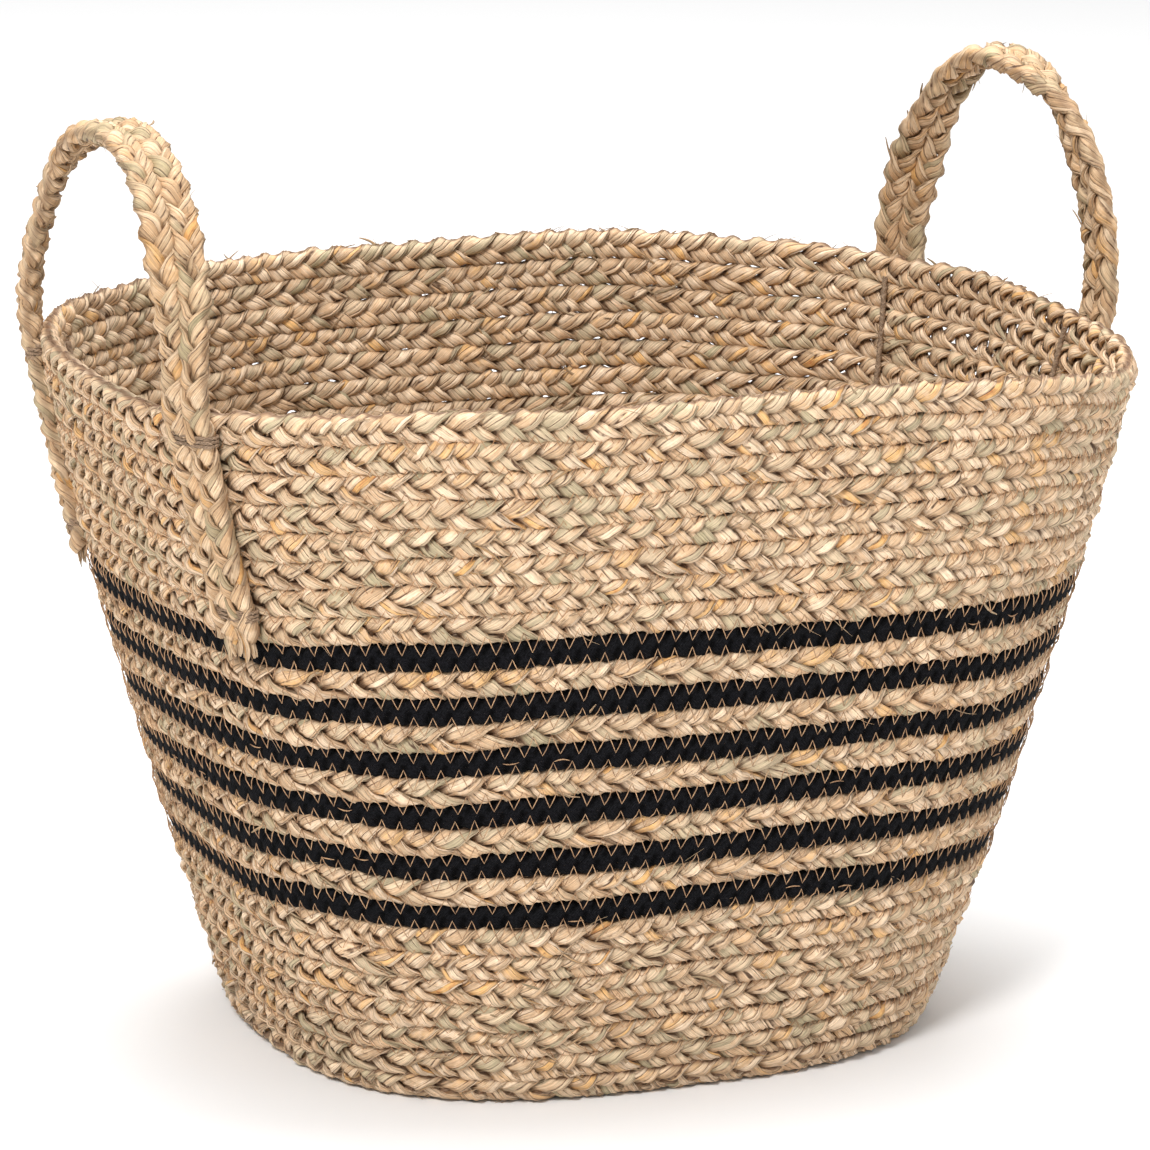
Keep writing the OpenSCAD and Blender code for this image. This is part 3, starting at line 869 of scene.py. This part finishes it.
def makeLooseTree():
    # single blades and fibres that have sprung out of the plait
    tree, given = newTree("looseBladeTree", [
        ("Guide", "Geometry"), ("Width", "Float"), ("Depth", "Float"), ("Material", "Material")])
    curve = add(tree, "GeometryNodeMeshToCurve", Mesh=given["Guide"])
    turned = add(tree, "GeometryNodeSetCurveNormal", {"mode": "FREE"}, Curve=curve.outputs[0],
                 Normal=named(tree, "outDir", "FLOAT_VECTOR"))
    ring = add(tree, "GeometryNodeCurvePrimitiveCircle", {"mode": "RADIUS"}, Resolution=looseBlade["sides"],
               Radius=1.0)
    angle = calc(tree, "MULTIPLY", add(tree, "GeometryNodeInputIndex").outputs[0],
                 2 * math.pi / looseBlade["sides"])
    marked = store(tree, ring.outputs[0], "ringAngle", angle)
    across = calc(tree, "MULTIPLY", calc(tree, "SINE", angle), calc(tree, "MULTIPLY", given["Width"], 0.5))
    deep = calc(tree, "MULTIPLY", calc(tree, "COSINE", angle), calc(tree, "MULTIPLY", given["Depth"], 0.5))
    shaped = add(tree, "GeometryNodeSetPosition", Geometry=marked, Position=combine(tree, deep, across, 0.0))
    taper = calc(tree, "POWER", calc(tree, "SINE", calc(tree, "MULTIPLY", calc(
        tree, "ADD", calc(tree, "MULTIPLY", named(tree, "turn"), 0.86), 0.07), math.pi)), 0.6)
    body = add(tree, "GeometryNodeCurveToMesh", Curve=turned.outputs[0], Profile_Curve=shaped.outputs[0],
               Scale=calc(tree, "MULTIPLY", taper, named(tree, "size")), Fill_Caps=True)
    # the painted crevice shade, set below where it starts to darken, so loose blades get none
    made = store(tree, body.outputs[0], "hollowShade", 0.12)
    made = store(tree, made, "leafTint", calc(tree, "FRACT", named(tree, "row")))
    made = store(tree, made, "grain", grainOf(tree), "FLOAT_VECTOR")
    endTree(tree, made, given["Material"])
    return tree


def bladeLine(rng, centre, run, side, out, length, lift, size):
    # a short bowed blade that lies along run and springs away from the surface at its tip
    t = np.linspace(0, 1, looseBlade["points"])
    bow = (rng.random() - 0.5) * looseBlade["bow"] * length
    path = (centre + run * ((t - looseBlade["rooted"]) * length)[:, None]
            + side * (bow * 4 * t * (1 - t))[:, None]
            + out * (lift * t ** looseBlade["curl"])[:, None])
    tip = unit(np.gradient(path, axis=0))
    outs = unit(out - tip * (tip @ out)[:, None])
    return {"centre": path, "out": outs, "side": np.cross(outs, tip), "closed": False, "turn": t,
            "along": t * length, "row": rng.integers(0, 900) + rng.random(), "size": size}


def strayFrom(rng, g, facing, half, depth, edge=False):
    # one blade somewhere on a plait's outer (1) or inner (-1) face
    j = rng.integers(1, len(g["centre"]) - 1)
    run = unit(g["centre"][j + 1] - g["centre"][j - 1])
    side, out = g["side"][j], g["out"][j] * facing
    across = half if edge else (rng.random() * 2 - 1) * half
    slope = math.copysign(0.35 + 0.55 * rng.random(), -across if not edge else 1.0) * (-1.0)
    along = unit(run * rng.choice([-1.0, 1.0], p=[0.2, 0.8]) + side * slope)
    width = np.cross(out, along)
    thin = rng.random() < looseBlade["thinShare"]
    size = looseBlade["thinSize"] if thin else 0.55 + 0.6 * rng.random()
    length = (0.008 + 0.010 * rng.random()) * (1.15 if thin else 1.0)
    lift = (0.0004 + 0.0016 * rng.random() ** 3) * (1.4 if thin else 1.0)
    return bladeLine(rng, g["centre"][j] + side * across + out * depth, along, width, out, length, lift, size)


def makeLooseBlades(material):
    tree = makeLooseTree()
    rng = np.random.default_rng(looseBlade["seed"])
    natural = [k for k in range(rowTotal) if not isBlack(k)]
    guides = {k: rowLine(k, looseBlade["guidePoints"]) for k in natural}
    weight = np.array([looseBlade["betweenBands"] if firstBand < k < firstUpper else 1.0 for k in natural])
    weight = weight / weight.sum()
    half, depth = rowHeight * looseBlade["reach"], looseBlade["faceDepth"]
    groups = [
        ("looseBladesOutside", [strayFrom(rng, guides[rng.choice(natural, p=weight)], 1, half, depth)
                                for _ in range(looseBlade["outside"])]),
        ("looseBladesRim", [strayFrom(rng, guides[rowTotal - 1], rng.choice([-1, 1]), half,
                                      looseBlade["rimDepth"], True)
                            for _ in range(looseBlade["rim"])]),
        ("looseBladesInside", [strayFrom(rng, guides[rng.choice(natural)], -1, half, depth)
                               for _ in range(looseBlade["inside"])]),
    ]
    for label, lines in groups:
        piece = grow(label, guideMesh(label, lines), tree,
                     {"Width": looseBlade["width"], "Depth": looseBlade["depth"]}, material)
        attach(piece, "basket")
    tuft = looseBlade["tuft"]
    short, longer = tuft["length"]
    for hand in ("left", "right"):
        centre, wide, face, _ = strapPath(hand)
        g = {"centre": centre, "side": wide, "out": face}
        lines = [strayFrom(rng, g, rng.choice([-1, 1]), strap["plaitWidth"] * 0.9, depth)
                 for _ in range(looseBlade["onStrap"])]
        for end, inward in ((0, 1), (-1, -2)):
            down = unit(centre[end] - centre[end + inward])
            for _ in range(looseBlade["inTuft"]):
                across = strap["plaitWidth"] * (rng.random() - 0.5) * tuft["across"]
                spot = centre[end] + wide[end] * across
                along = unit(down + wide[end] * (rng.random() - 0.5) * tuft["fan"])
                spot = spot + face[end] * tuft["depth"] * (rng.random() - 0.3)
                lines.append(bladeLine(rng, spot, along, np.cross(face[end], along), face[end],
                                       short + longer * rng.random(), tuft["lift"] * rng.random(),
                                       tuft["size"]))
        label = hand + "StrapLooseBlades"
        piece = grow(label, guideMesh(label, lines), tree,
                     {"Width": looseBlade["width"], "Depth": looseBlade["depth"]}, material)
        blendOverBend(piece)
    print("loose blades made")


def tone(red, green, blue):
    # a colour given as it looks on a screen, 0 to 255, as Blender's linear light
    def linear(v):
        v = v / 255
        return v / 12.92 if v <= 0.04045 else ((v + 0.055) / 1.055) ** 2.4
    return (linear(red), linear(green), linear(blue), 1.0)


def newGroup(name, inputs, outputs):
    group = bpy.data.node_groups.new(name, "ShaderNodeTree")
    for label, kind in inputs:
        group.interface.new_socket(label, in_out="INPUT", socket_type="NodeSocket" + kind)
    for label, kind in outputs:
        group.interface.new_socket(label, in_out="OUTPUT", socket_type="NodeSocket" + kind)
    return group, group.nodes.new("NodeGroupInput").outputs, group.nodes.new("NodeGroupOutput").inputs


def makeBladeGroup():
    # a bundle of dry blades: each has its own tint and fine lengthwise fibres, with painted shade in the
    # grooves between blades and in the crevices between strands
    group, given, out = newGroup("seagrassBlades", [
        ("Grain", "Vector"), ("Leaf Tint", "Float"), ("Hollow", "Float"), ("Shade", "Float"),
        ("Tone", "Color")], [("Color", "Color"), ("Roughness", "Float"), ("Height", "Float")])
    parts = add(group, "ShaderNodeSeparateXYZ", Vector=given["Grain"])
    around = calc(group, "ARCTAN2", parts.outputs[1], parts.outputs[0])
    bend = noiseAt(group, given["Grain"], (0.9, 0.9, 0.035), 1.0, 1.0)
    edge = calc(group, "ADD", calc(group, "MULTIPLY", around, bladesInStrand / (2 * math.pi)), 0.5)
    edge = calc(group, "ADD", edge, calc(group, "MULTIPLY", calc(group, "SUBTRACT", bend, 0.5), 2.0))
    blade = calc(group, "FLOORED_MODULO", calc(group, "FLOOR", edge), float(bladesInStrand))
    place = calc(group, "ABSOLUTE", calc(group, "SUBTRACT", calc(group, "FRACT", edge), 0.5))
    leaf = calc(group, "SNAP", given["Leaf Tint"], 1 / 48)
    dice = add(group, "ShaderNodeTexWhiteNoise", {"noise_dimensions": "3D"},
               Vector=combine(group, blade, calc(group, "MULTIPLY", leaf, 97.0), 0.5))
    own = dice.outputs["Value"]
    fine = noiseAt(group, given["Grain"], (6.0, 6.0, 0.06), 1.6, 4.0)
    spots = noiseAt(group, given["Grain"], (1.4, 1.4, 0.35), 1.0, 2.0)
    pick = calc(group, "ADD", calc(group, "MULTIPLY", leaf, 0.52), calc(group, "MULTIPLY", own, 0.40))
    pick = calc(group, "ADD", pick, calc(group, "MULTIPLY", calc(group, "SUBTRACT", spots, 0.4), 0.35))
    colour = ramp(group, pick, seagrassTones)
    light = calc(group, "ADD", spread(group, fine, 0.28, 0.72, 0.62, 1.14),
                 calc(group, "MULTIPLY", calc(group, "SUBTRACT", own, 0.5), 0.22))
    colour = mixColour(group, "MULTIPLY", 1.0, colour, combine(group, light, light, light))
    # painted shade along the grooves between blades, where the ridged strand dips; a noise makes it patchy
    grooveShadeSpots = spread(group, spots, 0.36, 0.62, 0.20, 1.0)
    grooveShade = calc(group, "MULTIPLY", spread(group, place, 0.40, 0.49, 0.0, 0.95), grooveShadeSpots)
    colour = mixColour(group, "MIX", grooveShade, colour, tone(70, 42, 24))
    # painted shade in the crevices between strands: darkened toward brown by Hollow, as strongly as Shade
    # says
    deep = calc(group, "MULTIPLY", spread(group, given["Hollow"], 0.30, 0.90), given["Shade"])
    colour = mixColour(group, "MIX", deep, colour, tone(88, 54, 32))
    colour = mixColour(group, "MULTIPLY", 1.0, colour, given["Tone"])
    feed(group, out["Color"], colour)
    feed(group, out["Roughness"], spread(group, fine, 0.2, 0.8, 0.72, 0.52))
    crown = calc(group, "SUBTRACT", 1.0, calc(group, "POWER", calc(group, "MULTIPLY", place, 2.0), 3.0))
    feed(group, out["Height"], calc(group, "ADD", calc(group, "MULTIPLY", crown, 0.9),
                                    calc(group, "MULTIPLY", fine, 0.7)))
    return group


def makeYarnGroup():
    # spun or twisted fibre in two tones
    group, given, out = newGroup("spunYarn", [
        ("Grain", "Vector"), ("Deep Tone", "Color"), ("Pale Tone", "Color")],
        [("Color", "Color"), ("Height", "Float")])
    thread = noiseAt(group, given["Grain"], (1.0, 1.0, 1.0), 1.0, 3.0)
    colour = mixColour(group, "MIX", spread(group, thread, 0.3, 0.7), given["Deep Tone"], given["Pale Tone"])
    feed(group, out["Color"], colour)
    feed(group, out["Height"], thread)
    return group


def newMaterial(name):
    material = bpy.data.materials.new(name)
    material.use_nodes = True
    tree = material.node_tree
    return material, tree, tree.nodes["Principled BSDF"]


def attribute(tree, name, output):
    n = tree.nodes.new("ShaderNodeAttribute")
    n.attribute_name = name
    return n.outputs[output]


def ramp(tree, value, stops):
    n = tree.nodes.new("ShaderNodeValToRGB")
    while len(n.color_ramp.elements) < len(stops):
        n.color_ramp.elements.new(0.5)
    for element, (place, colour) in zip(n.color_ramp.elements, stops):
        element.position = place
        element.color = colour
    feed(tree, n.inputs[0], value)
    return n.outputs["Color"]


def mixColour(tree, mode, share, a, b):
    n = tree.nodes.new("ShaderNodeMix")
    n.data_type = "RGBA"
    n.blend_type = mode
    feed(tree, live(n.inputs, "Factor"), share)
    feed(tree, live(n.inputs, "A"), a)
    feed(tree, live(n.inputs, "B"), b)
    return live(n.outputs, "Result")


def noiseAt(tree, place, stretch, scale, detail):
    n = add(tree, "ShaderNodeTexNoise", Vector=vector(tree, "MULTIPLY", place, stretch),
            Scale=scale, Detail=detail, Roughness=0.6)
    return n.outputs["Fac"]


def shared(tree, group, constants, **inputs):
    n = tree.nodes.new("ShaderNodeGroup")
    n.node_tree = group
    for label, value in constants.items():
        n.inputs[label].default_value = value
    for label, value in inputs.items():
        feed(tree, n.inputs[label.replace("_", " ")], value)
    return n.outputs


def spread(tree, value, low, high, toLow=0.0, toHigh=1.0):
    return add(tree, "ShaderNodeMapRange", {"interpolation_type": "SMOOTHSTEP"}, Value=value,
               From_Min=low, From_Max=high, To_Min=toLow, To_Max=toHigh).outputs[0]


seagrassTones = [
    (0.00, tone(184, 170, 134)),   # grey-green blades
    (0.14, tone(204, 184, 150)),
    (0.30, tone(224, 196, 162)),   # pale straw
    (0.46, tone(211, 174, 136)),
    (0.60, tone(238, 211, 180)),   # bleached
    (0.76, tone(216, 179, 139)),
    (0.90, tone(222, 174, 112)),   # golden
    (1.00, tone(186, 124, 76)),    # rust
]


def makeSeagrass(name, group, constants):
    material, tree, shader = newMaterial(name)
    grass = shared(tree, group, constants, Grain=attribute(tree, "grain", "Vector"),
                   Leaf_Tint=attribute(tree, "leafTint", "Fac"), Hollow=attribute(tree, "hollowShade", "Fac"))
    feed(tree, shader.inputs["Base Color"], grass["Color"])
    feed(tree, shader.inputs["Roughness"], grass["Roughness"])
    shader.inputs["Specular IOR Level"].default_value = 0.30
    bump = add(tree, "ShaderNodeBump", Strength=0.85, Distance=0.0005, Height=grass["Height"])
    feed(tree, shader.inputs["Normal"], bump.outputs[0])
    return material


def makeCotton(group):
    material, tree, shader = newMaterial("blackCotton")
    weave = attribute(tree, "weave", "Vector")
    parts = add(tree, "ShaderNodeSeparateXYZ", Vector=weave)
    slant = calc(tree, "SUBTRACT", parts.outputs[0],
                 calc(tree, "MULTIPLY", calc(tree, "ABSOLUTE", parts.outputs[1]), 0.9))
    yarn = calc(tree, "SINE", calc(tree, "MULTIPLY", slant, 2 * math.pi / 1.3))
    cotton = shared(tree, group, {"Deep Tone": tone(7, 7, 8), "Pale Tone": tone(25, 25, 28)}, Grain=weave)
    # painted shade: the black cotton is darkened between the ribs, to 0.12 of its colour in the deepest
    # valleys
    valleyShade = spread(tree, attribute(tree, "rib", "Fac"), 0.15, 0.75, 0.12, 1.0)
    colour = mixColour(tree, "MULTIPLY", 1.0, cotton["Color"], combine(tree, valleyShade, valleyShade, valleyShade))
    feed(tree, shader.inputs["Base Color"], colour)
    shader.inputs["Roughness"].default_value = 0.72
    shader.inputs["Specular IOR Level"].default_value = 0.06
    height = calc(tree, "ADD", calc(tree, "MULTIPLY", yarn, 0.5), cotton["Height"])
    bump = add(tree, "ShaderNodeBump", Strength=0.8, Distance=0.0004, Height=height)
    feed(tree, shader.inputs["Normal"], bump.outputs[0])
    return material


def makeYarn(name, group, place, stretch, constants):
    # place is "grain" for swept twine, or None for thread painted by its own position
    material, tree, shader = newMaterial(name)
    source = attribute(tree, place, "Vector") if place else add(
        tree, "ShaderNodeTexCoord").outputs["Object"]
    yarn = shared(tree, group, constants, Grain=vector(tree, "MULTIPLY", source, stretch))
    feed(tree, shader.inputs["Base Color"], yarn["Color"])
    shader.inputs["Roughness"].default_value = 0.75
    bump = add(tree, "ShaderNodeBump", Strength=0.5, Distance=0.0002, Height=yarn["Height"])
    feed(tree, shader.inputs["Normal"], bump.outputs[0])
    return material


shot = {"azimuth": -24.48, "elevation": 13.8, "roll": 1.13, "distance": 2.7307,
        "aim": (-0.00533, 0.0, 0.19245), "lens": 201.3, "sensor": 36, "clipEnd": 50}


def makeCamera():
    a, e, r = (math.radians(shot[k]) for k in ("azimuth", "elevation", "roll"))
    back = np.array([math.sin(a) * math.cos(e), -math.cos(a) * math.cos(e), math.sin(e)])
    level = unit(np.cross([0, 0, 1], back))
    over = np.cross(back, level)
    right = level * math.cos(r) + over * math.sin(r)
    up = over * math.cos(r) - level * math.sin(r)
    eye = np.array(shot["aim"]) + back * shot["distance"]
    data = bpy.data.cameras.new("camera")
    data.lens = shot["lens"]
    data.sensor_width = shot["sensor"]
    data.clip_end = shot["clipEnd"]
    camera = bpy.data.objects.new("camera", data)
    bpy.context.scene.collection.objects.link(camera)
    pose = np.eye(4)
    pose[:3, 0], pose[:3, 1], pose[:3, 2], pose[:3, 3] = right, up, back, eye
    camera.matrix_world = mathutils.Matrix(pose.tolist())
    bpy.context.scene.camera = camera


studio = {
    "world": 0.64,
    "aimHeight": 0.15,
    "floorReach": 9.0,
    "floorColour": (0.85, 0.85, 0.85, 1),
    "lamps": [  # name, place, size, watts
        ("keyLamp", (-1.9, -2.2, 2.6), 0.8, 102.0),
        ("fillLamp", (2.4, -1.8, 1.6), 2.2, 8.0),
        ("topLamp", (0.2, 0.4, 3.2), 2.0, 112.0),
    ],
}


def makeStudio():
    world = bpy.data.worlds.new("studioWorld")
    world.use_nodes = True
    bpy.context.scene.world = world
    sky = world.node_tree.nodes["Background"]
    sky.inputs["Color"].default_value = (1, 1, 1, 1)
    sky.inputs["Strength"].default_value = studio["world"]
    for name, place, size, watts in studio["lamps"]:
        data = bpy.data.lights.new(name, "AREA")
        data.energy = watts
        data.size = size
        lamp = bpy.data.objects.new(name, data)
        bpy.context.scene.collection.objects.link(lamp)
        aim = np.array(place) - np.array([0, 0, studio["aimHeight"]])
        back = unit(aim)
        level = unit(np.cross([0, 0, 1.0], back))
        pose = np.eye(4)
        pose[:3, 0], pose[:3, 1], pose[:3, 2], pose[:3, 3] = level, np.cross(back, level), back, place
        lamp.matrix_world = mathutils.Matrix(pose.tolist())
    reach = studio["floorReach"]
    mesh = bpy.data.meshes.new("floor")
    mesh.from_pydata([(-reach, -reach, 0), (reach, -reach, 0), (reach, reach, 0), (-reach, reach, 0)],
                     [], [(0, 1, 2, 3)])
    floor = bpy.data.objects.new("floor", mesh)
    bpy.context.scene.collection.objects.link(floor)
    material, _, shader = newMaterial("paleFloor")
    shader.inputs["Base Color"].default_value = studio["floorColour"]
    shader.inputs["Roughness"].default_value = 0.9
    mesh.materials.append(material)
    bpy.context.scene.view_settings.view_transform = "Standard"


makeCamera()
makeStudio()
bladeGroup = makeBladeGroup()
yarnGroup = makeYarnGroup()
wallGrass = makeSeagrass("seagrassWall", bladeGroup, {"Shade": 0.80, "Tone": tone(255, 255, 255)})
# the straps' copy of the seagrass is toned darker as a painted shade, to offset the stronger light on them,
# and carries half the painted crevice shade of the walls
shadedStrapGrass = makeSeagrass("seagrassStrapShaded", bladeGroup, {"Shade": 0.40, "Tone": tone(238, 234, 227)})
plaitTree = makePlaitTree(makeStrandGroup())
makeWallPlait(plaitTree, wallGrass)
makeBaseCoil(plaitTree, wallGrass)
makeBlackBands(makeCotton(yarnGroup))
makeSeams(makeYarn("paleSeamThread", yarnGroup, None, (400, 400, 400),
                   {"Deep Tone": tone(132, 98, 70), "Pale Tone": tone(190, 152, 114)}),
          makeYarn("brownSeamThread", yarnGroup, None, (400, 400, 400),
                   {"Deep Tone": tone(140, 98, 64), "Pale Tone": tone(188, 142, 100)}))
makeStraps(plaitTree, shadedStrapGrass)
makeTwines(plaitTree, makeYarn("brownTwine", yarnGroup, "grain", (2.5, 2.5, 0.6),
                               {"Deep Tone": tone(96, 74, 56), "Pale Tone": tone(164, 138, 112)}))
makeLooseBlades(shadedStrapGrass)
